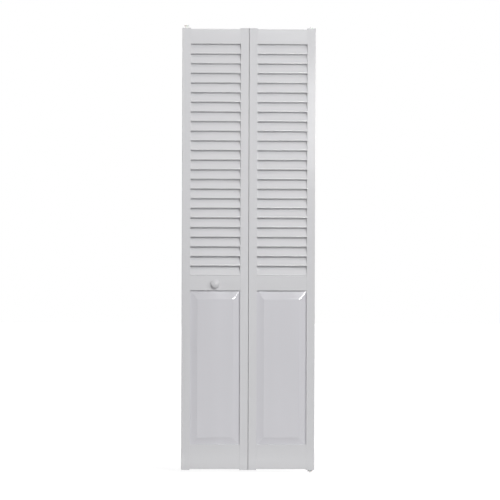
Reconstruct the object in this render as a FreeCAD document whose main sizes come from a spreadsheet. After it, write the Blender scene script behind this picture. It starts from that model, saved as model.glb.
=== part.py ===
import FreeCAD, Part
import math
import os
import Sketcher
from FreeCAD import Placement, Rotation, Vector

# Bifold closet door: two louvred leaves, folded together by three butt hinges on their back faces.
# +X is to the right and +Z is up; the room side is -Y. The origin is at the foot of the bottom pivot pin,
# on the axis that the right-hand (pivot) leaf swings about. The left-hand (lead) leaf carries the knob.

DIMENSIONS = {
    # one leaf
    "leaf_width": (300.1, "width of one leaf"),
    "leaf_height": (1998.7, "length of the stiles"),
    "leaf_thickness": (28.6, "1-1/8 in stock"),
    "leaf_gap": (2.0, "between the closed leaves"),
    "stile_width": (37.0, "face width of a stile"),
    "edge_round": (0.6, "eased long edges of stiles and rails"),
    "rail_inset": (4.5, "the stiles run past the top and bottom rails by this"),
    "top_rail_height": (66.7, "2-5/8 in"),
    "lock_rail_height": (66.7, "2-5/8 in"),
    "bottom_rail_height": (111.1, "4-3/8 in"),
    # louvre
    "slat_count": (24, "slats in one leaf"),
    "slat_pitch": (43.57, "from one slat to the next"),
    "slat_width": (50.8, "2 in across the slat, nose to nose"),
    "slat_thickness": (6.35, "1/4 in"),
    "slat_tilt": (62.5, "degrees from level, high at the back"),
    "slat_end_gap": (0.35, "from the first and last slats to the rails"),
    "housing_depth": (6.0, "depth of the slots that hold the slats' ends"),
    "housing_clearance": (0.1, "all round a slat in its slot"),
    "housing_end_gap": (0.3, "from a slat's end to the bottom of its slot"),
    # raised panel
    "groove_width": (6.4, "groove for the panel's tongue"),
    "groove_depth": (7.0, "depth of that groove"),
    "tongue_clearance": (0.2, "between each face of the tongue and its groove"),
    "tongue_end_gap": (0.8, "room for the panel to swell"),
    "panel_thickness": (19.0, "across the raised field"),
    "side_bevel": (32.0, "from a stile to the raised field"),
    "top_bevel": (40.5, "from the lock rail down to the raised field"),
    "bottom_bevel": (30.0, "from the bottom rail up to the raised field"),
    "mitre_round": (20.0, "soft ridge where two bevels meet"),
    "field_step": (1.0, "square step round the field"),
    # dowels
    "dowel_radius": (4.76, "3/8 in dowel"),
    "dowel_length": (50.0, "half in the rail, half in the stile"),
    "dowel_margin": (4.0, "least wood beside a dowel hole"),
    "dowel_clearance": (0.05, "round a dowel"),
    "dowel_end_gap": (0.5, "behind each end of a dowel"),
    # hinges
    "hinge_height": (76.2, "3 in butt hinge"),
    "hinge_end_distance": (200.0, "from the leaf's ends to the middle of the outer hinges"),
    "plate_width": (24.0, "from the pin's axis to the plate's free edge"),
    "plate_thickness": (1.6, "hinge plate"),
    "knuckle_radius": (3.2, "rolled knuckle"),
    "knuckle_gap": (0.25, "between one knuckle and the next"),
    "notch_clearance": (0.4, "from a plate's notch to the other plate's knuckle"),
    "hinge_pin_radius": (1.5, "riveted hinge pin"),
    "hinge_pin_clearance": (0.05, "round the hinge pin"),
    "rivet_radius": (2.4, "closed ends of the hinge pin"),
    "rivet_height": (0.8, "closed ends of the hinge pin"),
    "screw_offset": (14.5, "from the pin's axis to the screws"),
    "screw_spacing": (27.0, "from screw to screw in one plate"),
    "screw_head_radius": (3.3, "No. 6 countersunk screw"),
    "screw_radius": (1.75, "No. 6 screw shank"),
    "screw_length": (16.0, "under the plate"),
    "screw_point": (3.0, "length of the screw's point"),
    "screw_clearance": (0.05, "round a screw in its hole"),
    # knob
    "knob_radius": (19.0, "1-1/2 in knob"),
    "knob_projection": (27.0, "from the leaf's face"),
    "knob_foot_radius": (9.5, "where the knob meets the leaf"),
    "knob_foot_height": (3.0, "straight foot of the knob"),
    "knob_waist_depth": (3.8, "hollow between the foot and the rim"),
    "knob_rim_height": (17.5, "from the leaf's face to the middle of the rim"),
    "knob_rim_round": (4.0, "half-round rim round the domed face"),
    "knob_below_centre": (3.0, "from the lock rail's middle down to the knob"),
    "knob_screw_radius": (2.1, "No. 8 machine screw"),
    "knob_screw_reach": (12.0, "into the knob"),
    "knob_hole_gap": (0.5, "before the screw's tip in the knob"),
    "knob_screw_head_radius": (4.2, "pan head behind the leaf"),
    "knob_screw_head_height": (2.2, "pan head behind the leaf"),
    "knob_screw_head_bevel": (1.1, "shoulder of the pan head"),
    # pivot and guide hardware
    "tip_radius": (3.97, "5/16 in pivot tips"),
    "shank_radius": (4.76, "3/8 in shanks"),
    "tip_chamfer": (0.4, "at the free end of a tip"),
    "running_clearance": (0.06, "round a shank or an axle"),
    "seat_clearance": (0.05, "round a bush in its bore"),
    "face_clearance": (0.1, "between faces that turn or slide on each other"),
    "bush_radius": (7.15, "nylon bushes"),
    "flange_radius": (9.0, "flange of a bush"),
    "flange_thickness": (1.5, "flange of a bush"),
    "bore_end_gap": (0.5, "behind a bush in its bore"),
    "foot_tip_length": (6.0, "bottom pin below its nut"),
    "nut_radius": (11.0, "star nut that sets the door's height"),
    "nut_height": (4.5, "star nut"),
    "nut_notch_radius": (1.8, "finger notches of the star nut"),
    "bush_length": (38.0, "bottom bush in the stile"),
    "bottom_shank_length": (42.0, "bottom pin above its tip"),
    "sleeve_length": (32.0, "top sleeves in the stiles"),
    "sleeve_lip": (5.0, "top of a sleeve, which guides the shank"),
    "sleeve_floor": (2.0, "bottom of a sleeve, which carries the spring"),
    "collar_radius": (5.8, "keeps a sprung pin in its sleeve"),
    "collar_height": (3.0, "keeps a sprung pin in its sleeve"),
    "shoulder_gap": (0.3, "shank above a sleeve at rest"),
    "top_tip_length": (8.5, "top pivot pin above its shoulder"),
    "guide_travel": (5.0, "room under the guide wheel"),
    "axle_radius": (3.0, "guide wheel's axle"),
    "wheel_radius": (11.0, "guide wheel"),
    "wheel_thickness": (5.5, "guide wheel"),
    "wheel_round": (1.0, "rims of the guide wheel"),
    "axle_head_radius": (4.5, "closed end of the axle"),
    "axle_head_height": (1.0, "closed end of the axle"),
    "spring_radius": (4.6, "mean radius of a coil spring"),
    "spring_wire": (1.0, "square wire"),
    "spring_turns": (6, "turns of a coil spring"),
    "spring_end_gap": (0.1, "at each end of a spring"),
}

HINGE_SEGMENTS = 5  # knuckles of one hinge: three on the pivot leaf's plate, two between them on the other
SCREW_STEPS = (-1, 0, 1)  # screws of a hinge plate, in steps of their spacing from its middle
HINGES = {"bottom": -1, "middle": 0, "top": 1}  # places in steps of the hinge pitch from mid-height
NUT_NOTCHES = 8
TOUCHING = 1e-4  # lengths closer than this are the same
LEAST_CUT = 1e-3  # a cut that takes away less has missed the solid

# Heights in one leaf, from the lower ends of its stiles.
RAIL_LENGTH = "(door.leaf_width - 2 * door.stile_width)"
SLAT_RISE = "((door.slat_width - door.slat_thickness) * sin(door.slat_tilt) + door.slat_thickness)"
LOUVRE_HEIGHT = f"({SLAT_RISE} + (door.slat_count - 1) * door.slat_pitch + 2 * door.slat_end_gap)"
PANEL_BOTTOM = "(door.rail_inset + door.bottom_rail_height)"
TOP_RAIL_BOTTOM = "(door.leaf_height - door.rail_inset - door.top_rail_height)"
LOUVRE_BOTTOM = f"({TOP_RAIL_BOTTOM} - {LOUVRE_HEIGHT})"
LOCK_RAIL_BOTTOM = f"({LOUVRE_BOTTOM} - door.lock_rail_height)"
PANEL_HEIGHT = f"({LOCK_RAIL_BOTTOM} - {PANEL_BOTTOM})"
FIRST_SLAT = f"({LOUVRE_BOTTOM} + door.slat_end_gap + {SLAT_RISE} / 2)"
KNOB_HEIGHT = f"({LOCK_RAIL_BOTTOM} + door.lock_rail_height / 2 - door.knob_below_centre)"
HINGE_PITCH = "(door.leaf_height / 2 - door.hinge_end_distance)"

# Across one leaf, from the seam between the two.
LEAF_MIDDLE = "(door.leaf_gap / 2 + door.leaf_width / 2)"
INNER_STILE = "(door.leaf_gap / 2 + door.stile_width / 2)"
OUTER_STILE = "(door.leaf_gap / 2 + door.leaf_width - door.stile_width / 2)"

# Places of the whole door.
LEAF_FOOT = "(door.foot_tip_length + door.nut_height + door.face_clearance + door.flange_thickness)"
LEAF_TOP = f"({LEAF_FOOT} + door.leaf_height)"
SEAM_X = "(door.stile_width / 2 - door.leaf_width - door.leaf_gap / 2)"
GUIDE_X = f"(2 * {SEAM_X})"
HINGE_Y = "(door.leaf_thickness / 2 + door.knuckle_radius)"

# Each rail: its lower edge, its height, and the heights of its two dowels. The dowels of the outer rails
# stay clear of the pivot bores, and those beside the panel stay clear of its groove.
DOWEL_ROOM = "(door.dowel_margin + door.dowel_radius)"
RAILS = {
    "top_rail": (
        TOP_RAIL_BOTTOM,
        "door.top_rail_height",
        f"({TOP_RAIL_BOTTOM} + {DOWEL_ROOM})",
        f"(door.leaf_height - door.sleeve_length - door.bore_end_gap - {DOWEL_ROOM})",
    ),
    "lock_rail": (
        LOCK_RAIL_BOTTOM,
        "door.lock_rail_height",
        f"({LOCK_RAIL_BOTTOM} + door.groove_depth + {DOWEL_ROOM})",
        f"({LOUVRE_BOTTOM} - {DOWEL_ROOM})",
    ),
    "bottom_rail": (
        "door.rail_inset",
        "door.bottom_rail_height",
        f"(door.bush_length + door.bore_end_gap + {DOWEL_ROOM})",
        f"({PANEL_BOTTOM} - door.groove_depth - {DOWEL_ROOM})",
    ),
}
DOWEL_HEIGHTS = [height for rail in RAILS.values() for height in rail[2:]]

doc = FreeCAD.newDocument("bifold_closet_door")
sheet = doc.addObject("Spreadsheet::Sheet", "door")
for row, (alias, (number, note)) in enumerate(DIMENSIONS.items(), start=1):
    sheet.set(f"A{row}", alias)
    sheet.set(f"B{row}", str(number))
    sheet.set(f"C{row}", note)
    sheet.setAlias(f"B{row}", alias)
doc.recompute()

pieces = {}


def value(expression):
    """The number that an expression of the sheet stands for, in millimetres or degrees."""
    found = sheet.evalExpression(expression)
    return float(getattr(found, "Value", found))


def new_body(label, x="0", y="0", z="0"):
    """An empty body with its own origin at a place of the whole door."""
    body = doc.addObject("PartDesign::Body", label)
    body.Label = label
    for axis, place in zip("xyz", (x, y, z)):
        body.setExpression(f"Placement.Base.{axis}", place)
    pieces[label] = body
    return body


def origin_feature(body, role):
    return next(feature for feature in body.Origin.OriginFeatures if feature.Role == role)


def new_sketch(body, plane, offset="0", across="0", up="0", turn="0"):
    """A sketch on one of the body's own planes, moved along and within it, then turned in it."""
    sketch = body.newObject("Sketcher::SketchObject", "Sketch")
    sketch.AttachmentSupport = (origin_feature(body, plane), [""])
    sketch.MapMode = "FlatFace"
    sketch.AttachmentOffset = Placement(Vector(0, 0, 0), Rotation(Vector(0, 0, 1), value(turn)))
    for axis, place in zip("xyz", (across, up, offset)):
        sketch.setExpression(f"AttachmentOffset.Base.{axis}", place)
    sketch.setExpression("AttachmentOffset.Rotation.Angle", turn)
    return sketch


def fix_point(sketch, geometry, point, x, y):
    """Holds a point of the sketch at two expressions, each measured from the sketch's origin."""
    for kind, place, axis in (("DistanceX", x, -2), ("DistanceY", y, -1)):
        if place == "0":
            sketch.addConstraint(Sketcher.Constraint("PointOnObject", geometry, point, axis))
            continue
        number = sketch.addConstraint(Sketcher.Constraint(kind, -1, 1, geometry, point, value(place)))
        sketch.setExpression(f"Constraints[{number}]", place)


def add_arc(sketch, start, end, radius):
    """An arc that turns left on its way from start to end, or right where the radius is below zero. Gives the
    numbers of its points at start and at end, since a sketch's own arcs all run counter-clockwise."""
    chord = end - start
    left = Vector(-chord.y, chord.x, 0).normalize()
    from_chord = math.sqrt(max(radius**2 - (chord.Length / 2) ** 2, 0))
    centre = (start + end) / 2 + left * math.copysign(from_chord, radius)
    ways = (start, end) if radius > 0 else (end, start)
    angles = [math.atan2(point.y - centre.y, point.x - centre.x) for point in ways]
    sketch.addGeometry(Part.ArcOfCircle(Part.Circle(centre, Vector(0, 0, 1), abs(radius)), *angles))
    return (1, 2) if radius > 0 else (2, 1)


def outline(sketch, points):
    """A closed outline of straight lines through points given as pairs of expressions. Where a point has a third,
    the way to the next point is an arc of that radius, as add_arc turns it."""
    corners = [Vector(value(x), value(y), 0) for x, y, *bend in points]
    first = sketch.GeometryCount
    ends = []
    for (x, y, *bend), start, end in zip(points, corners, corners[1:] + corners[:1]):
        if bend:
            ends.append(add_arc(sketch, start, end, value(bend[0])))
        else:
            sketch.addGeometry(Part.LineSegment(start, end))
            ends.append((1, 2))
    for index, (x, y, *bend) in enumerate(points):
        this, before = first + index, first + (index - 1) % len(points)
        start, end_before = ends[index][0], ends[index - 1][1]
        sketch.addConstraint(Sketcher.Constraint("Coincident", before, end_before, this, start))
        fix_point(sketch, this, start, x, y)
        if bend:
            number = sketch.addConstraint(Sketcher.Constraint("Radius", this, abs(value(bend[0]))))
            sketch.setExpression(f"Constraints[{number}]", f"abs({bend[0]})")


def arc_radius(width, height, depth):
    """The radius of an arc that spans a width and a height and stands off its chord by a depth."""
    return f"((({width})^2 + ({height})^2) / (8 * ({depth})) + ({depth}) / 2)"


def rectangle(sketch, left, right, bottom, top):
    outline(sketch, [(left, bottom), (right, bottom), (right, top), (left, top)])


def centred_rectangle(sketch, width, height):
    rectangle(sketch, f"-({width}) / 2", f"({width}) / 2", f"-({height}) / 2", f"({height}) / 2")


def circle(sketch, radius, x="0", y="0"):
    centre = Vector(value(x), value(y), 0)
    geometry = sketch.addGeometry(Part.Circle(centre, Vector(0, 0, 1), value(radius)))
    fix_point(sketch, geometry, 3, x, y)
    number = sketch.addConstraint(Sketcher.Constraint("Radius", geometry, value(radius)))
    sketch.setExpression(f"Constraints[{number}]", radius)


def slat_section(sketch, clearance):
    """A slat's section about the sketch's origin: flat faces between two round noses."""
    radius = f"(door.slat_thickness / 2 + {clearance})"
    reach = "((door.slat_width - door.slat_thickness) / 2)"
    r, c = value(radius), value(reach)
    up, quarter = Vector(0, 0, 1), math.pi / 2
    right = sketch.addGeometry(Part.ArcOfCircle(Part.Circle(Vector(c, 0, 0), up, r), -quarter, quarter))
    top = sketch.addGeometry(Part.LineSegment(Vector(c, r, 0), Vector(-c, r, 0)))
    left = sketch.addGeometry(Part.ArcOfCircle(Part.Circle(Vector(-c, 0, 0), up, r), quarter, 3 * quarter))
    bottom = sketch.addGeometry(Part.LineSegment(Vector(-c, -r, 0), Vector(c, -r, 0)))
    for start, end in ((right, top), (top, left), (left, bottom), (bottom, right)):
        sketch.addConstraint(Sketcher.Constraint("Tangent", start, 2, end, 1))
    sketch.addConstraint(Sketcher.Constraint("Equal", right, left))
    fix_point(sketch, right, 3, reach, "0")
    fix_point(sketch, left, 3, f"-{reach}", "0")
    number = sketch.addConstraint(Sketcher.Constraint("Radius", right, r))
    sketch.setExpression(f"Constraints[{number}]", radius)


def pad(body, sketch, length, symmetric=False):
    """Material along the sketch's normal, or to both sides of it."""
    feature = body.newObject("PartDesign::Pad", "Pad")
    feature.Profile = sketch
    feature.SideType = "Symmetric" if symmetric else "One side"
    feature.setExpression("Length", length)
    doc.recompute()
    return feature


def finish_cut(body, before):
    """Recomputes, and stops if the cut took nothing away from the volume before it."""
    doc.recompute()
    if body.Shape.Volume > before - LEAST_CUT:
        raise RuntimeError(f"a cut in {body.Label} took nothing away")


def pocket(body, sketch, length, along_normal=False, symmetric=False):
    """A cut against the sketch's normal, along it, or to both sides of it."""
    before = body.Shape.Volume
    feature = body.newObject("PartDesign::Pocket", "Pocket")
    feature.Profile = sketch
    feature.SideType = "Symmetric" if symmetric else "One side"
    feature.Reversed = along_normal
    feature.setExpression("Length", length)
    finish_cut(body, before)
    return feature


def turn(body, sketch, kind="Revolution"):
    """A full turn of the sketch's outline about its own upright axis, added or cut away."""
    feature = body.newObject(f"PartDesign::{kind}", kind)
    feature.Profile = sketch
    feature.ReferenceAxis = (sketch, ["V_Axis"])
    feature.Angle = 360
    doc.recompute()
    return feature


def turned_cut(body, sketch):
    before = body.Shape.Volume
    feature = turn(body, sketch, "Groove")
    finish_cut(body, before)
    return feature


def repeat_up(body, feature, count, spacing, groups=None, group_spacing=None):
    """Copies of a feature up the body's Z axis, and that row again in evenly spaced groups."""
    pattern = body.newObject("PartDesign::LinearPattern", "LinearPattern")
    pattern.Originals = [feature]
    pattern.Direction = (origin_feature(body, "Z_Axis"), [""])
    pattern.Mode = "Spacing"
    pattern.setExpression("Offset", spacing)
    pattern.setExpression("Occurrences", count)
    if groups:
        pattern.Direction2 = (origin_feature(body, "Z_Axis"), [""])
        pattern.Mode2 = "Spacing"
        pattern.Occurrences2 = groups
        pattern.setExpression("Offset2", group_spacing)
        pattern.Spacings2 = [-1.0] * (groups - 1)  # -1 leaves each step at the even spacing
    body.Tip = pattern
    doc.recompute()
    return pattern


def mirror(body, features, plane):
    mirrored = body.newObject("PartDesign::Mirrored", "Mirrored")
    mirrored.Originals = features
    mirrored.MirrorPlane = (origin_feature(body, plane), [""])
    body.Tip = mirrored
    doc.recompute()
    return mirrored


def round_edges(body, radius, wanted):
    """A fillet on the edges of the body that the function wanted picks out."""
    base = body.Tip
    names = [f"Edge{i}" for i, edge in enumerate(base.Shape.Edges, start=1) if wanted(edge)]
    feature = body.newObject("PartDesign::Fillet", "Fillet")
    feature.Base = (base, names)
    feature.setExpression("Radius", radius)
    doc.recompute()
    return feature


def edges_along(direction):
    """Picks out the straight edges that run along a direction."""

    def along(edge):
        straight = edge.Curve.TypeId == "Part::GeomLine"
        return straight and edge.Curve.Direction.cross(direction).Length < TOUCHING

    return along


def rims(radius):
    """Picks out the round edges of a radius."""
    size = value(radius)

    def on_rim(edge):
        return edge.Curve.TypeId == "Part::GeomCircle" and abs(edge.Curve.Radius - size) < TOUCHING

    return on_rim


def is_mitre(edge):
    """True for the slanting edges where two bevels of a panel meet."""
    start, end = (vertex.Point for vertex in edge.Vertexes)
    return all(abs(step) > TOUCHING for step in end - start)


def leaf_x(side, offset):
    """A place at an offset from the seam, in the pivot leaf where side is 1 and in the other where it is -1."""
    return f"({SEAM_X} + {side} * ({offset}))"


def turned_piece(label, points, x, y, z, plane="XZ_Plane"):
    """A turned piece from its half outline of (radius, place along the axis) pairs."""
    body = new_body(label, x, y, z)
    sketch = new_sketch(body, plane)
    outline(sketch, points)
    turn(body, sketch)
    return body


# --- the frame of a leaf ---------------------------------------------------------------------------------


def stile(leaf, name, side, interior):
    """An upright of the frame. interior is the side (1 or -1 along X) where the rails and slats go in."""
    inner = name == "inner_stile"
    body = new_body(f"{leaf}_{name}", leaf_x(side, INNER_STILE if inner else OUTER_STILE), "0", LEAF_FOOT)
    section = new_sketch(body, "XY_Plane")
    centred_rectangle(section, "door.stile_width", "door.leaf_thickness")
    pad(body, section, "door.leaf_height")
    round_edges(body, "door.edge_round", edges_along(Vector(0, 0, 1)))

    face = f"{interior} * door.stile_width / 2"
    into_wood = {"along_normal": interior < 0}
    slot = new_sketch(body, "YZ_Plane", face, up=FIRST_SLAT, turn="door.slat_tilt")
    slat_section(slot, "door.housing_clearance")
    first = pocket(body, slot, "door.housing_depth", **into_wood)
    repeat_up(body, first, "door.slat_count", "door.slat_pitch")

    groove = new_sketch(body, "YZ_Plane", face)
    rectangle(
        groove,
        "-door.groove_width / 2",
        "door.groove_width / 2",
        f"{PANEL_BOTTOM} - door.groove_depth",
        f"{LOCK_RAIL_BOTTOM} + door.groove_depth",
    )
    pocket(body, groove, "door.groove_depth", **into_wood)

    dowel_holes = new_sketch(body, "YZ_Plane", face)
    for height in DOWEL_HEIGHTS:
        circle(dowel_holes, "door.dowel_radius + door.dowel_clearance", "0", height)
    pocket(body, dowel_holes, "door.dowel_length / 2 + door.dowel_end_gap", **into_wood)
    if inner:
        hinge_screw_holes(body, side)
    return body


def hinge_screw_holes(body, side):
    """Pilot holes in an inner stile's back face, a row for each hinge."""
    holes = new_sketch(body, "XZ_Plane", "-door.leaf_thickness / 2")
    from_middle = f"{side} * (door.screw_offset - {INNER_STILE})"
    for step in SCREW_STEPS:
        height = f"door.leaf_height / 2 - {HINGE_PITCH} + {step} * door.screw_spacing"
        circle(holes, "door.screw_radius + door.screw_clearance", from_middle, height)
    one_hinge = pocket(body, holes, "door.screw_length + door.face_clearance", along_normal=True)
    repeat_up(body, one_hinge, str(len(HINGES)), HINGE_PITCH)


def end_bore(body, depth, at_top):
    """A bore for a nylon bush, up from a stile's foot or down from its top."""
    sketch = new_sketch(body, "XY_Plane", "door.leaf_height" if at_top else "0")
    circle(sketch, "door.bush_radius + door.seat_clearance")
    pocket(body, sketch, f"{depth} + door.bore_end_gap", along_normal=not at_top)


def rail(leaf, name, side):
    bottom, height, *dowels = RAILS[name]
    body = new_body(f"{leaf}_{name}", leaf_x(side, LEAF_MIDDLE), "0", f"{LEAF_FOOT} + {bottom}")
    section = new_sketch(body, "YZ_Plane")
    rectangle(section, "-door.leaf_thickness / 2", "door.leaf_thickness / 2", "0", height)
    pad(body, section, RAIL_LENGTH, symmetric=True)
    round_edges(body, "door.edge_round", edges_along(Vector(1, 0, 0)))

    if name != "top_rail":
        groove = new_sketch(body, "YZ_Plane")
        low, high = f"{height} - door.groove_depth", f"{height} + door.groove_depth"
        if name == "lock_rail":
            low, high = "-door.groove_depth", "door.groove_depth"
        rectangle(groove, "-door.groove_width / 2", "door.groove_width / 2", low, high)
        pocket(body, groove, f"{RAIL_LENGTH} + 2 * door.groove_depth", symmetric=True)

    holes = new_sketch(body, "YZ_Plane", f"{RAIL_LENGTH} / 2")
    for dowel in dowels:
        circle(holes, "door.dowel_radius + door.dowel_clearance", "0", f"{dowel} - {bottom}")
    right_end = pocket(body, holes, "door.dowel_length / 2 + door.dowel_end_gap")
    mirror(body, [right_end], "YZ_Plane")
    return body


def raised_panel(leaf, side):
    """A panel raised on both faces: a tongue all round, bevels that meet in soft ridges, and a flat field, which
    stands a small step above them."""
    body = new_body(f"{leaf}_raised_panel", leaf_x(side, LEAF_MIDDLE), "0", f"{LEAF_FOOT} + {PANEL_BOTTOM}")
    tongue = "(door.groove_width - 2 * door.tongue_clearance)"
    reach = "(door.groove_depth - door.tongue_end_gap)"
    opening = (f"-{RAIL_LENGTH} / 2", f"{RAIL_LENGTH} / 2", "0", PANEL_HEIGHT)
    field = (
        f"door.side_bevel - {RAIL_LENGTH} / 2",
        f"{RAIL_LENGTH} / 2 - door.side_bevel",
        "door.bottom_bevel",
        f"{PANEL_HEIGHT} - door.top_bevel",
    )
    low, high = "{} - " + reach, "{} + " + reach
    slab = new_sketch(body, "XZ_Plane")
    rectangle(slab, *(grown.format(edge) for grown, edge in zip((low, high, low, high), opening)))
    pad(body, slab, tongue, symmetric=True)

    for face in (1, -1):
        bevel_foot = new_sketch(body, "XZ_Plane", f"{face} * {tongue} / 2")
        rectangle(bevel_foot, *opening)
        bevel_head = new_sketch(body, "XZ_Plane", f"{face} * (door.panel_thickness / 2 - door.field_step)")
        rectangle(bevel_head, *field)
        bevels = body.newObject("PartDesign::AdditiveLoft", "Bevels")
        bevels.Profile = bevel_foot
        bevels.Sections = [bevel_head]
        bevels.Ruled = True
        doc.recompute()
    round_edges(body, "door.mitre_round", is_mitre)

    raised = new_sketch(body, "XZ_Plane")
    rectangle(raised, *field)
    pad(body, raised, "door.panel_thickness", symmetric=True)
    return body


def louvre_slats(leaf, side):
    """All the slats of a leaf, each a bar with rounded noses whose ends sit in the stiles' slots."""
    body = new_body(f"{leaf}_louvre_slats", leaf_x(side, LEAF_MIDDLE), "0", f"{LEAF_FOOT} + {FIRST_SLAT}")
    section = new_sketch(body, "YZ_Plane", turn="door.slat_tilt")
    slat_section(section, "0")
    in_housing = "(door.housing_depth - door.housing_end_gap)"
    lowest = pad(body, section, f"{RAIL_LENGTH} + 2 * {in_housing}", symmetric=True)
    repeat_up(body, lowest, "door.slat_count", "door.slat_pitch")
    return body


def frame_dowels(leaf, side):
    """The dowels that hold the rails to the stiles, two at each joint."""
    body = new_body(f"{leaf}_dowels", leaf_x(side, LEAF_MIDDLE), "0", LEAF_FOOT)
    sketch = new_sketch(body, "YZ_Plane", f"{RAIL_LENGTH} / 2")
    for height in DOWEL_HEIGHTS:
        circle(sketch, "door.dowel_radius", "0", height)
    mirror(body, [pad(body, sketch, "door.dowel_length", symmetric=True)], "YZ_Plane")
    return body


def wooden_leaf(leaf, side):
    """All the wood of a leaf. Gives the frame's pieces by name, for the hardware to be let into them."""
    frame = {
        "outer_stile": stile(leaf, "outer_stile", side, -side),
        "inner_stile": stile(leaf, "inner_stile", side, side),
    }
    for name in RAILS:
        frame[name] = rail(leaf, name, side)
    raised_panel(leaf, side)
    louvre_slats(leaf, side)
    frame_dowels(leaf, side)
    return frame


# --- hinges ----------------------------------------------------------------------------------------------


def countersunk_head(clearance, plate_back):
    """Points of a countersunk head as deep as a hinge plate, from the middle of its face to its neck."""
    plate_face = f"({plate_back} + door.plate_thickness)"
    return [
        ("0", plate_face),
        (f"door.screw_head_radius + {clearance}", plate_face),
        (f"door.screw_radius + {clearance}", plate_back),
    ]


def hinge_plate(label, side, step):
    """One half of a butt hinge, about the pin's axis: a plate on the stile's back face and its knuckles."""
    body = new_body(label, SEAM_X, HINGE_Y, f"{LEAF_FOOT} + door.leaf_height / 2 + {step} * {HINGE_PITCH}")
    foot = "-door.hinge_height / 2"
    plate = new_sketch(body, "XY_Plane", foot)
    back = "-door.knuckle_radius"
    face = "-door.knuckle_radius + door.plate_thickness"
    rectangle(plate, "0", f"{side} * door.plate_width", back, face)
    pad(body, plate, "door.hinge_height")
    barrel = new_sketch(body, "XY_Plane", foot)
    circle(barrel, "door.knuckle_radius")
    pad(body, barrel, "door.hinge_height")
    bore = new_sketch(body, "XY_Plane", foot)
    circle(bore, "door.hinge_pin_radius + door.hinge_pin_clearance")
    pocket(body, bore, "door.hinge_height", along_normal=True)

    segment = f"(door.hinge_height / {HINGE_SEGMENTS})"
    own_first = side > 0
    notches = HINGE_SEGMENTS // 2 if own_first else HINGE_SEGMENTS // 2 + 1
    lowest = f"-{1 if own_first else 2} * {segment}"
    half = f"({segment} + door.knuckle_gap) / 2"
    notch = new_sketch(body, "XZ_Plane")
    rectangle(
        notch,
        f"-{side} * (door.knuckle_radius + door.notch_clearance)",
        f"{side} * (door.knuckle_radius + door.notch_clearance)",
        f"{lowest} - {half}",
        f"{lowest} + {half}",
    )
    cut = pocket(body, notch, "4 * door.knuckle_radius", symmetric=True)
    repeat_up(body, cut, str(notches), f"2 * {segment}")

    countersink = new_sketch(body, "XY_Plane", "-door.screw_spacing", across=f"{side} * door.screw_offset")
    outline(countersink, countersunk_head("door.screw_clearance", back) + [("0", back)])
    repeat_up(body, turned_cut(body, countersink), str(len(SCREW_STEPS)), "door.screw_spacing")
    return body


def hinge_pin(label, step):
    """A plain pin with closed ends, which keep it in the knuckles."""
    end = "(door.hinge_height / 2 + door.face_clearance)"
    outer = f"({end} + door.rivet_height)"
    half_outline = [
        ("0", f"-{outer}"),
        ("door.rivet_radius", f"-{outer}"),
        ("door.rivet_radius", f"-{end}"),
        ("door.hinge_pin_radius", f"-{end}"),
        ("door.hinge_pin_radius", end),
        ("door.rivet_radius", end),
        ("door.rivet_radius", outer),
        ("0", outer),
    ]
    height = f"{LEAF_FOOT} + door.leaf_height / 2 + {step} * {HINGE_PITCH}"
    return turned_piece(label, half_outline, SEAM_X, HINGE_Y, height)


def hinge_screws(leaf, side):
    """The screws that hold one leaf's hinge plates."""
    lowest = f"{LEAF_FOOT} + door.leaf_height / 2 - {HINGE_PITCH} - door.screw_spacing"
    x = leaf_x(side, "door.screw_offset")
    body = new_body(f"{leaf}_hinge_screws", x, "door.leaf_thickness / 2", lowest)
    sketch = new_sketch(body, "XY_Plane")
    point = [("door.screw_radius", "door.screw_point - door.screw_length"), ("0", "-door.screw_length")]
    outline(sketch, countersunk_head("0", "0") + point)
    screw = turn(body, sketch)
    repeat_up(body, screw, str(len(SCREW_STEPS)), "door.screw_spacing", len(HINGES), HINGE_PITCH)
    return body


# --- knob ------------------------------------------------------------------------------------------------


def knob(lock_rail):
    """A turned knob, with a hollow waist behind a half-round rim and a domed face, and its screw, which comes
    through from the back of the lead leaf."""
    x = leaf_x(-1, LEAF_MIDDLE)
    z = f"{LEAF_FOOT} + {KNOB_HEIGHT}"
    hole_radius = "(door.knob_screw_radius + door.screw_clearance)"
    hole_end = "-(door.knob_screw_reach + door.knob_hole_gap)"
    face_radius = "(door.knob_radius - door.knob_rim_round)"
    rim_back = "(door.knob_rim_height - door.knob_rim_round)"
    rim_front = "(door.knob_rim_height + door.knob_rim_round)"
    waist = arc_radius(
        f"{face_radius} - door.knob_foot_radius",
        f"{rim_back} - door.knob_foot_height",
        "door.knob_waist_depth",
    )
    dome = arc_radius(f"2 * {face_radius}", "0", f"door.knob_projection - {rim_front}")
    half_outline = [
        (hole_radius, "0"),
        ("door.knob_foot_radius", "0"),
        ("door.knob_foot_radius", "-door.knob_foot_height", waist),
        (face_radius, f"-{rim_back}", "-door.knob_rim_round"),
        ("door.knob_radius", "-door.knob_rim_height", "-door.knob_rim_round"),
        (face_radius, f"-{rim_front}", f"-{dome}"),
        ("0", "-door.knob_projection"),
        ("0", hole_end),
        (hole_radius, hole_end),
    ]
    turned_piece("knob", half_outline, x, "-door.leaf_thickness / 2", z, plane="XY_Plane")

    through = new_sketch(lock_rail, "XZ_Plane")
    circle(through, hole_radius, "0", f"{KNOB_HEIGHT} - {LOCK_RAIL_BOTTOM}")
    pocket(lock_rail, through, "2 * door.leaf_thickness", symmetric=True)

    tip = "-(door.leaf_thickness + door.knob_screw_reach)"
    head = "door.knob_screw_head_height"
    screw_outline = [
        ("0", tip),
        ("door.knob_screw_radius", tip),
        ("door.knob_screw_radius", "0"),
        ("door.knob_screw_head_radius", "0"),
        ("door.knob_screw_head_radius", f"{head} - door.knob_screw_head_bevel"),
        ("door.knob_screw_head_radius - door.knob_screw_head_bevel", head),
        ("0", head),
    ]
    turned_piece("knob_screw", screw_outline, x, "door.leaf_thickness / 2", z, plane="XY_Plane")


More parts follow.
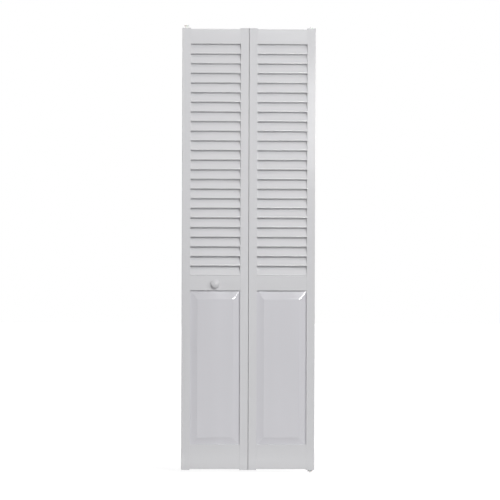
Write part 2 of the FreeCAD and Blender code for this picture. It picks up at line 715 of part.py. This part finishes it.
# --- pivots and guide ------------------------------------------------------------------------------------


def bottom_pivot(outer_stile):
    """The pin that stands in the floor bracket, the star nut that sets the height, and the stile's bush."""
    end_bore(outer_stile, "door.bush_length", at_top=False)
    pin_outline = [
        ("0", "0"),
        ("door.tip_radius - door.tip_chamfer", "0"),
        ("door.tip_radius", "door.tip_chamfer"),
        ("door.tip_radius", "door.foot_tip_length"),
        ("door.shank_radius", "door.foot_tip_length"),
        ("door.shank_radius", "door.foot_tip_length + door.bottom_shank_length"),
        ("0", "door.foot_tip_length + door.bottom_shank_length"),
    ]
    turned_piece("bottom_pivot_pin", pin_outline, "0", "0", "0")

    bore = "door.shank_radius + door.running_clearance"
    nut = new_body("height_adjuster_nut", "0", "0", "door.foot_tip_length")
    disc = new_sketch(nut, "XY_Plane")
    circle(disc, "door.nut_radius")
    circle(disc, bore)
    pad(nut, disc, "door.nut_height")
    notch = new_sketch(nut, "XY_Plane")
    circle(notch, "door.nut_notch_radius", "door.nut_radius", "0")
    cut = pocket(nut, notch, "door.nut_height", along_normal=True)
    star = nut.newObject("PartDesign::PolarPattern", "PolarPattern")
    star.Originals = [cut]
    star.Axis = (origin_feature(nut, "Z_Axis"), [""])
    star.Occurrences = NUT_NOTCHES
    star.Angle = 360
    nut.Tip = star
    doc.recompute()

    bush_outline = [
        (bore, "-door.flange_thickness"),
        ("door.flange_radius", "-door.flange_thickness"),
        ("door.flange_radius", "0"),
        ("door.bush_radius", "0"),
        ("door.bush_radius", "door.bush_length"),
        (bore, "door.bush_length"),
    ]
    turned_piece("bottom_pivot_bush", bush_outline, "0", "0", LEAF_FOOT)


def sleeve_and_spring(name, outer_stile, x):
    """A nylon sleeve in the top of a stile, and the coil spring that stands in it. The sleeve's mouth guides
    the shank of a sprung pin, whose collar rises and falls in the wider chamber below."""
    end_bore(outer_stile, "door.sleeve_length", at_top=True)
    mouth = "door.shank_radius + door.running_clearance"
    chamber = "door.collar_radius + door.face_clearance"
    chamber_top = "door.flange_thickness - door.sleeve_lip"
    chamber_floor = "-door.sleeve_length + door.sleeve_floor"
    half_outline = [
        ("0", "-door.sleeve_length"),
        ("door.bush_radius", "-door.sleeve_length"),
        ("door.bush_radius", "0"),
        ("door.flange_radius", "0"),
        ("door.flange_radius", "door.flange_thickness"),
        (mouth, "door.flange_thickness"),
        (mouth, chamber_top),
        (chamber, chamber_top),
        (chamber, chamber_floor),
        ("0", chamber_floor),
    ]
    turned_piece(f"{name}_sleeve", half_outline, x, "0", LEAF_TOP)

    collar_bottom = f"({chamber_top} - door.face_clearance - door.collar_height)"
    foot = f"({chamber_floor} + door.spring_end_gap + door.spring_wire / 2)"
    body = new_body(f"{name}_spring", x, "0", f"{LEAF_TOP} + {foot}")
    wire = new_sketch(body, "XZ_Plane", across="door.spring_radius")
    centred_rectangle(wire, "door.spring_wire", "door.spring_wire")
    coil = body.newObject("PartDesign::AdditiveHelix", "AdditiveHelix")
    coil.Profile = wire
    coil.ReferenceAxis = (origin_feature(body, "Z_Axis"), [""])
    coil.Mode = "height-turns-angle"
    coil.setExpression("Turns", "door.spring_turns")
    coil.setExpression("Height", f"{collar_bottom} - door.spring_end_gap - door.spring_wire / 2 - {foot}")
    doc.recompute()


def collar_outline():
    """The lower half of a sprung pin's outline: its collar and the shank up to its shoulder."""
    top = "(door.flange_thickness - door.sleeve_lip - door.face_clearance)"
    return [
        ("0", f"{top} - door.collar_height"),
        ("door.collar_radius", f"{top} - door.collar_height"),
        ("door.collar_radius", top),
        ("door.shank_radius", top),
    ]


def top_pivot(outer_stile):
    sleeve_and_spring("top_pivot", outer_stile, "0")
    shoulder = "(door.flange_thickness + door.shoulder_gap)"
    end = f"({shoulder} + door.top_tip_length)"
    half_outline = collar_outline() + [
        ("door.shank_radius", shoulder),
        ("door.tip_radius", shoulder),
        ("door.tip_radius", f"{end} - door.tip_chamfer"),
        ("door.tip_radius - door.tip_chamfer", end),
        ("0", end),
    ]
    turned_piece("top_pivot_pin", half_outline, "0", "0", LEAF_TOP)


def guide(outer_stile):
    """The sprung stem on the lead leaf and the wheel on it, which runs in the track over the opening."""
    sleeve_and_spring("guide", outer_stile, GUIDE_X)
    shoulder = "(door.flange_thickness + door.guide_travel + door.shoulder_gap)"
    head = f"({shoulder} + door.wheel_thickness + 2 * door.face_clearance)"
    half_outline = collar_outline() + [
        ("door.shank_radius", shoulder),
        ("door.axle_radius", shoulder),
        ("door.axle_radius", head),
        ("door.axle_head_radius", head),
        ("door.axle_head_radius", f"{head} + door.axle_head_height"),
        ("0", f"{head} + door.axle_head_height"),
    ]
    turned_piece("guide_stem", half_outline, GUIDE_X, "0", LEAF_TOP)

    bore = "door.axle_radius + door.running_clearance"
    wheel_outline = [
        (bore, "0"),
        ("door.wheel_radius", "0"),
        ("door.wheel_radius", "door.wheel_thickness"),
        (bore, "door.wheel_thickness"),
    ]
    height = f"{LEAF_TOP} + {shoulder} + door.face_clearance"
    wheel = turned_piece("guide_wheel", wheel_outline, GUIDE_X, "0", height)
    round_edges(wheel, "door.wheel_round", rims("door.wheel_radius"))


pivot_leaf = wooden_leaf("pivot_leaf", 1)
lead_leaf = wooden_leaf("lead_leaf", -1)
for place, step in HINGES.items():
    hinge_plate(f"{place}_hinge_pivot_plate", 1, step)
    hinge_plate(f"{place}_hinge_lead_plate", -1, step)
    hinge_pin(f"{place}_hinge_pin", step)
hinge_screws("pivot_leaf", 1)
hinge_screws("lead_leaf", -1)
knob(lead_leaf["lock_rail"])
bottom_pivot(pivot_leaf["outer_stile"])
top_pivot(pivot_leaf["outer_stile"])
guide(lead_leaf["outer_stile"])
doc.recompute()

for item in doc.Objects:
    if "Invalid" in item.State or "Error" in item.State:
        raise RuntimeError(f"{item.Label} was left in state {item.State}")
for label, body in pieces.items():
    if body.Shape.isNull() or not body.Shape.isValid():
        raise RuntimeError(f"{label} has no valid shape")

os.makedirs("parts", exist_ok=True)
for label, body in pieces.items():
    body.Shape.exportStep(f"parts/{label}.step")
    box = body.Shape.BoundBox
    spans = ((box.XMin, box.XMax), (box.YMin, box.YMax), (box.ZMin, box.ZMax))
    reach = ", ".join(f"{axis} {low:.2f} to {high:.2f}" for axis, (low, high) in zip("xyz", spans))
    print(f"{label}: {len(body.Shape.Solids)} solids, {body.Shape.Volume / 1000:.2f} cm3, {reach}")
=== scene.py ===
import math

import bpy
from mathutils import Matrix, Vector


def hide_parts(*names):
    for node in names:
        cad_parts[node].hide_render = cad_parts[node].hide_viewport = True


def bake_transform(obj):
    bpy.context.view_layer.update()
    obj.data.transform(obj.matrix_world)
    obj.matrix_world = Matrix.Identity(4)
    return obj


# A painted bifold closet door: two leaves, each with louvres over a raised panel.
# Lengths are in metres. +X is right, +Z is up, and the room is on the -Y side.

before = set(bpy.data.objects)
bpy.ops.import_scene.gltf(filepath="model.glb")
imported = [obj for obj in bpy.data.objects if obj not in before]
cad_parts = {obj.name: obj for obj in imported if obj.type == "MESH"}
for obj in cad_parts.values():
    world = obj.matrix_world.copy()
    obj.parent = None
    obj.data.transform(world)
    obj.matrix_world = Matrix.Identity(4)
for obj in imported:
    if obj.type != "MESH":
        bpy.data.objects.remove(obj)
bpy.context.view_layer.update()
scene = bpy.context.scene

# --- camera: level, from far off and a little to the left ------------------------------------------

VIEW_CENTRE = Vector((-0.2764, -0.0143, 1.0075))  # the point of the door's face in the picture's middle
VIEW_WIDTH = 2.261  # width of the picture at the door
VIEW_DISTANCE = 30.0
VIEW_AZIMUTH = math.radians(-4.4)  # less than 0 is to the left
VIEW_ROLL = math.radians(0.19)
SENSOR = 36.0  # millimetres
CLIP_END = 200.0

# --- light -----------------------------------------------------------------------------------------

# Each lamp: its place, the point it faces, its width and height, and its level, which is about how
# bright it alone shows a white surface that faces it at that point.
LAMPS = {
    # the main light, from the front and above
    "key": (Vector((0.8, -6.7, 3.95)), VIEW_CENTRE, (1.0, 1.0), 0.41),
    # a weaker one from the upper right
    "side": (Vector((3.2, -3.8, 2.7)), VIEW_CENTRE, (0.8, 0.8), 0.165),
    # mirrored as white strokes in the panels' upper right mitres
    "glint": (Vector((3.48, -14.0, 2.57)), VIEW_CENTRE, (0.6, 0.5), 0.125),
    # the sheen on the upper part of the right-hand stile
    "spot": (Vector((0.22, -2.0, 1.63)), Vector((0.05, 0, 1.63)), (0.14, 0.5), 0.03),
    # on the slats' upper faces
    "overhead": (Vector((-0.3, -2.2, 4.6)), VIEW_CENTRE, (2.0, 1.2), 0.04),
    # along the floor, on the bottom rails
    "foot": (Vector((-0.28, -0.5, 0.04)), Vector((-0.28, 0, 0.1)), (1.0, 0.05), 0.075),
    # on the edges that face left
    "left": (Vector((-6.0, -1.1, 1.6)), VIEW_CENTRE, (1.5, 1.5), 0.19),
    # for views from behind
    "back": (Vector((-2.2, 5.5, 1.2)), VIEW_CENTRE, (3.6, 2.2), 0.24),
}

# The sky and the floor are white to the camera, and throw less light on the door than they show.
WHITE = (1, 1, 1, 1)
SKY_LEVEL = 0.12
FLOOR_SIZE = 120.0
FLOOR_ROUGHNESS = 0.9
FLOOR_COLOUR = (0.7, 0.7, 0.7)
FLOOR_BOUNCE = (0.3, 0.3, 0.3)  # the floor's colour for the light that it throws up

# The floor glows for the camera. Up to FLOOR_NEAR from the origin it gives FLOOR_GLOW, and the lamps
# make up the rest of its white, so that a shadow shows. From FLOOR_FAR on it is white without them.
FLOOR_GLOW = 0.7
FLOOR_NEAR = 2.5
FLOOR_FAR = 8.0

# --- finishes: colours are linear, noise is in waves per metre -------------------------------------

ALONG_X, ALONG_Z = 0, 2
FACTOR_LOW, FACTOR_HIGH = 0.3, 0.7  # most of the noise lies between these

FRAME_PAINT = (0.652, 0.651, 0.667)
PANEL_PAINT = (0.655, 0.649, 0.683)
PAINT_VARIATION = 0.977  # the darkest tone of a coat, as a share of the lightest
PAINT_SPECULAR = 0.65
FRAME_ROUGHNESS = 0.16
PANEL_ROUGHNESS = 0.13
KNOB_ROUGHNESS = 0.24
EDGE_ROUGHNESS = 0.85
PAINT_SMOOTHER, PAINT_ROUGHER = 0.03, 0.05  # how far a coat's roughness strays below and above
# The edges' dull paint begins where the X part of a surface's normal is the first, and is full at the
# second.
SIDEWAYS_LOW, SIDEWAYS_HIGH = 0.8, 0.95
TONE_ACROSS, TONE_ALONG = 9.0, 0.8
GRAIN_ACROSS, GRAIN_ALONG, GRAIN_DEPTH = 170.0, 5.0, 0.00006
PEEL_WAVES, PEEL_DEPTH = 620.0, 0.00003

HINGE_PLATING, HINGE_ROUGHNESS = (0.46, 0.46, 0.45), 0.5
PIVOT_PLATING, PIVOT_ROUGHNESS = (0.56, 0.56, 0.55), 0.3
SPRING_PLATING, SPRING_ROUGHNESS = (0.42, 0.42, 0.41), 0.4
PLATING_VARIATION = 0.86  # the darkest mottle, as a share of the plating's colour
PLATING_SMOOTHER, PLATING_ROUGHER = 0.07, 0.1
MOTTLE_WAVES = 160.0
DRAWN_ACROSS, DRAWN_ALONG, DRAWN_DEPTH = 900.0, 12.0, 0.00001

NYLON_DARK, NYLON_LIGHT = (0.80, 0.80, 0.765), (0.86, 0.86, 0.835)
NYLON_SMOOTH, NYLON_ROUGH = 0.38, 0.5
NYLON_SUBSURFACE, NYLON_SUBSURFACE_SCALE = 0.15, 0.003
CLOUD_WAVES = 45.0
SKIN_WAVES, SKIN_DEPTH = 1400.0, 0.00002

BEECH_DARK, BEECH_LIGHT = (0.47, 0.30, 0.16), (0.62, 0.43, 0.26)
BEECH_SMOOTH, BEECH_ROUGH = 0.6, 0.75
RAYS_ACROSS, RAYS_ALONG, RAYS_DEPTH = 500.0, 25.0, 0.00005

# --- shader nodes ----------------------------------------------------------------------------------


def node(tree, kind, **settings):
    """A new shader node; settings are its properties."""
    made = tree.nodes.new(kind)
    for name, setting in settings.items():
        setattr(made, name, setting)
    return made


def link(tree, source, target):
    tree.links.new(source, target)


def noise(tree, across, along=None, axis=ALONG_Z, detail=3.0, roughness=0.5):
    """Noise in the door's coordinates at rest. Where along is given, it is drawn out on that axis."""
    waves = [across, across, across]
    if along is not None:
        waves[axis] = along
    place = node(tree, "ShaderNodeTexCoord")
    stretch = node(tree, "ShaderNodeMapping")
    stretch.inputs["Scale"].default_value = waves
    link(tree, place.outputs["Object"], stretch.inputs["Vector"])
    made = node(tree, "ShaderNodeTexNoise")
    made.inputs["Scale"].default_value = 1.0
    made.inputs["Detail"].default_value = detail
    made.inputs["Roughness"].default_value = roughness
    link(tree, stretch.outputs["Vector"], made.inputs["Vector"])
    return made.outputs["Fac"]


def spread(tree, factor, low, high, from_low=FACTOR_LOW, from_high=FACTOR_HIGH):
    """A number that goes from low to high as the factor goes from from_low to from_high."""
    ramp = node(tree, "ShaderNodeMapRange")
    ramp.inputs["From Min"].default_value = from_low
    ramp.inputs["From Max"].default_value = from_high
    ramp.inputs["To Min"].default_value = low
    ramp.inputs["To Max"].default_value = high
    link(tree, factor, ramp.inputs["Value"])
    return ramp.outputs["Result"]


def colour_socket(sockets, name):
    """A mix node has sockets of several types under one name; this is the one for colours."""
    return next(socket for socket in sockets if socket.name == name and socket.type == "RGBA")


def mixed_colour(tree, factor, first, second, from_low=FACTOR_LOW, from_high=FACTOR_HIGH):
    """A colour that goes from first to second as the factor goes from from_low to from_high."""
    share = spread(tree, factor, 0.0, 1.0, from_low, from_high)
    mix = node(tree, "ShaderNodeMix", data_type="RGBA")
    colour_socket(mix.inputs, "A").default_value = (*first, 1)
    colour_socket(mix.inputs, "B").default_value = (*second, 1)
    link(tree, share, mix.inputs["Factor"])
    return colour_socket(mix.outputs, "Result")


def darkened(colour, share):
    """The colour at a share of its brightness."""
    return tuple(share * part for part in colour)


def bump(tree, height, depth, under=None):
    """A bump of a real depth, over another bump where one is given."""
    made = node(tree, "ShaderNodeBump")
    made.inputs["Distance"].default_value = depth
    link(tree, height, made.inputs["Height"])
    if under:
        link(tree, under, made.inputs["Normal"])
    return made.outputs["Normal"]


def facing_sideways(tree):
    """1 where a piece faces along X, as the upright edges of a board do, and 0 on its faces."""
    place = node(tree, "ShaderNodeTexCoord")
    directions = node(tree, "ShaderNodeSeparateXYZ")
    link(tree, place.outputs["Normal"], directions.inputs["Vector"])
    sideways = node(tree, "ShaderNodeMath", operation="ABSOLUTE")
    link(tree, directions.outputs["X"], sideways.inputs[0])
    return spread(tree, sideways.outputs["Value"], 0.0, 1.0, SIDEWAYS_LOW, SIDEWAYS_HIGH)


# --- materials -------------------------------------------------------------------------------------


def new_material(name, **constants):
    """A material, its tree and its shader; constants are the shader's sockets, with _ for spaces."""
    material = bpy.data.materials.new(name)
    material.use_nodes = True
    shader = material.node_tree.nodes["Principled BSDF"]
    for socket, number in constants.items():
        shader.inputs[socket.replace("_", " ")].default_value = number
    return material, material.node_tree, shader


def painted_wood(name, axis, paint=FRAME_PAINT, roughness=FRAME_ROUGHNESS):
    """Satin paint over wood whose grain runs along the axis: a fine orange peel from the spray gun, the
    grain showing faintly through it, and slow changes in tone and gloss. The upright edges, which take
    less paint, stay dull."""
    material, tree, shader = new_material(name, Specular_IOR_Level=PAINT_SPECULAR)
    grain = noise(tree, GRAIN_ACROSS, GRAIN_ALONG, axis, detail=4.0, roughness=0.6)
    tone = noise(tree, TONE_ACROSS, TONE_ALONG, axis, detail=2.0)
    peel = noise(tree, PEEL_WAVES, detail=1.0)
    colour = mixed_colour(tree, tone, darkened(paint, PAINT_VARIATION), paint)
    link(tree, colour, shader.inputs["Base Color"])
    gloss = spread(tree, tone, roughness - PAINT_SMOOTHER, roughness + PAINT_ROUGHER)
    dulled = node(tree, "ShaderNodeMix", data_type="FLOAT")
    link(tree, facing_sideways(tree), dulled.inputs["Factor"])
    link(tree, gloss, dulled.inputs["A"])
    dulled.inputs["B"].default_value = EDGE_ROUGHNESS
    link(tree, dulled.outputs["Result"], shader.inputs["Roughness"])
    raised = bump(tree, grain, GRAIN_DEPTH)
    link(tree, bump(tree, peel, PEEL_DEPTH, under=raised), shader.inputs["Normal"])
    return material


def plated_steel(name, plating, roughness, axis=ALONG_Z):
    """Zinc-plated steel with the fine lines of rolled or drawn stock along the axis, and a faint mottle
    in the plating."""
    material, tree, shader = new_material(name, Metallic=1.0)
    drawn = noise(tree, DRAWN_ACROSS, DRAWN_ALONG, axis)
    mottle = noise(tree, MOTTLE_WAVES)
    colour = mixed_colour(tree, mottle, darkened(plating, PLATING_VARIATION), plating)
    link(tree, colour, shader.inputs["Base Color"])
    gloss = spread(tree, drawn, roughness - PLATING_SMOOTHER, roughness + PLATING_ROUGHER)
    link(tree, gloss, shader.inputs["Roughness"])
    link(tree, bump(tree, drawn, DRAWN_DEPTH), shader.inputs["Normal"])
    return material


def moulded_nylon(name):
    """Off-white nylon, slightly cloudy and translucent, with the mould's fine texture."""
    material, tree, shader = new_material(
        name, Subsurface_Weight=NYLON_SUBSURFACE, Subsurface_Scale=NYLON_SUBSURFACE_SCALE
    )
    cloud = noise(tree, CLOUD_WAVES, detail=2.0)
    skin = noise(tree, SKIN_WAVES, detail=1.0)
    link(tree, mixed_colour(tree, cloud, NYLON_DARK, NYLON_LIGHT), shader.inputs["Base Color"])
    link(tree, spread(tree, cloud, NYLON_SMOOTH, NYLON_ROUGH), shader.inputs["Roughness"])
    link(tree, bump(tree, skin, SKIN_DEPTH), shader.inputs["Normal"])
    return material


def bare_beech(name):
    """Unpainted beech with its grain along X, as the dowels lie."""
    material, tree, shader = new_material(name)
    rays = noise(tree, RAYS_ACROSS, RAYS_ALONG, ALONG_X, detail=4.0)
    link(tree, mixed_colour(tree, rays, BEECH_DARK, BEECH_LIGHT), shader.inputs["Base Color"])
    link(tree, spread(tree, rays, BEECH_SMOOTH, BEECH_ROUGH), shader.inputs["Roughness"])
    link(tree, bump(tree, rays, RAYS_DEPTH), shader.inputs["Normal"])
    return material


paint_upright = painted_wood("paint_upright", ALONG_Z)
paint_level = painted_wood("paint_level", ALONG_X)
paint_panel = painted_wood("paint_panel", ALONG_Z, PANEL_PAINT, PANEL_ROUGHNESS)
finishes = {
    "knob_paint": painted_wood("knob_paint_coat", ALONG_Z, roughness=KNOB_ROUGHNESS),
    "bare_wood": bare_beech("beech"),
    "hinge_steel": plated_steel("hinge_plating", HINGE_PLATING, HINGE_ROUGHNESS),
    "zinc_steel": plated_steel("pivot_plating", PIVOT_PLATING, PIVOT_ROUGHNESS),
    "nylon": moulded_nylon("white_nylon"),
    "spring_steel": plated_steel("spring_wire", SPRING_PLATING, SPRING_ROUGHNESS, ALONG_X),
}


def finish_of(name, slot):
    """A node's material: painted wood goes by the piece and its grain, all else by the slot."""
    if slot != "painted_wood":
        return finishes[slot]
    if name.endswith("stile"):
        return paint_upright
    if name.endswith("panel"):
        return paint_panel
    return paint_level


for name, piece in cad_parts.items():
    piece.data.materials[0] = finish_of(name, piece.data.materials[0].name)

# --- springs ---------------------------------------------------------------------------------------


def shortening_spring(name):
    """A copy of a coil spring's mesh as an object of its own, in place of the CAD part, which is hidden.
    """
    spring = bpy.data.objects.new(f"{name}_coils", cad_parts[name].data.copy())
    scene.collection.objects.link(spring)
    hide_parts(name)
    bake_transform(spring)


shortening_spring("top_pivot_spring")
shortening_spring("guide_spring")

# --- stage -----------------------------------------------------------------------------------------


def shown_directly(tree):
    """1 where a thing is seen, directly, mirrored or through glass, and 0 where it only throws light."""
    path = node(tree, "ShaderNodeLightPath")
    total = path.outputs["Is Camera Ray"]
    for other in ("Is Glossy Ray", "Is Transmission Ray"):
        either = node(tree, "ShaderNodeMath", operation="MAXIMUM")
        link(tree, total, either.inputs[0])
        link(tree, path.outputs[other], either.inputs[1])
        total = either.outputs["Value"]
    return total


def make_world():
    """A sky that is white to the camera and lights the door faintly from all sides."""
    world = bpy.data.worlds.new("studio")
    scene.world = world
    world.use_nodes = True
    tree = world.node_tree
    background = tree.nodes["Background"]
    background.inputs["Color"].default_value = WHITE
    strength = spread(tree, shown_directly(tree), SKY_LEVEL, 1.0, 0.0, 1.0)
    link(tree, strength, background.inputs["Strength"])


def make_floor():
    """A floor at the foot of the bottom pivot pin, white up to the horizon but for a soft shadow."""
    half = FLOOR_SIZE / 2
    corners = [(-half, -half, 0), (half, -half, 0), (half, half, 0), (-half, half, 0)]
    mesh = bpy.data.meshes.new("floor")
    mesh.from_pydata(corners, [], [(0, 1, 2, 3)])
    floor = bpy.data.objects.new("floor", mesh)
    scene.collection.objects.link(floor)
    material, tree, shader = new_material("floor_white", Roughness=FLOOR_ROUGHNESS)
    direct = shown_directly(tree)
    colour = mixed_colour(tree, direct, FLOOR_BOUNCE, FLOOR_COLOUR, 0.0, 1.0)
    link(tree, colour, shader.inputs["Base Color"])
    shader.inputs["Emission Color"].default_value = WHITE
    place = node(tree, "ShaderNodeTexCoord")
    distance = node(tree, "ShaderNodeVectorMath", operation="LENGTH")
    link(tree, place.outputs["Object"], distance.inputs[0])
    share = spread(tree, distance.outputs["Value"], FLOOR_GLOW, 1.0, FLOOR_NEAR, FLOOR_FAR)
    glow = node(tree, "ShaderNodeMath", operation="MULTIPLY")
    link(tree, direct, glow.inputs[0])
    link(tree, share, glow.inputs[1])
    link(tree, glow.outputs["Value"], shader.inputs["Emission Strength"])
    mesh.materials.append(material)


def make_lamp(name, place, aim, size, level):
    """A soft rectangular lamp that faces the point aim."""
    lamp = bpy.data.lights.new(name, "AREA")
    lamp.shape = "RECTANGLE"
    lamp.size, lamp.size_y = size
    away = place - aim
    lamp.energy = level * math.pi**2 * away.length_squared
    stand = bpy.data.objects.new(name, lamp)
    stand.location = place
    stand.rotation_euler = away.to_track_quat("Z", "Y").to_euler()
    scene.collection.objects.link(stand)


def make_camera():
    """The camera that sees the door as the photograph does."""
    data = bpy.data.cameras.new("camera")
    data.sensor_width = SENSOR
    data.lens = SENSOR * VIEW_DISTANCE / VIEW_WIDTH
    data.clip_end = CLIP_END
    camera = bpy.data.objects.new("camera", data)
    back = Vector((math.sin(VIEW_AZIMUTH), -math.cos(VIEW_AZIMUTH), 0))
    camera.location = VIEW_CENTRE + back * VIEW_DISTANCE
    level = back.to_track_quat("Z", "Y").to_matrix()
    camera.rotation_euler = (level @ Matrix.Rotation(VIEW_ROLL, 3, "Z")).to_euler()
    scene.collection.objects.link(camera)
    scene.camera = camera


make_world()
make_floor()
for name, (place, aim, size, level) in LAMPS.items():
    make_lamp(name, place, aim, size, level)
make_camera()
scene.view_settings.view_transform = "Standard"
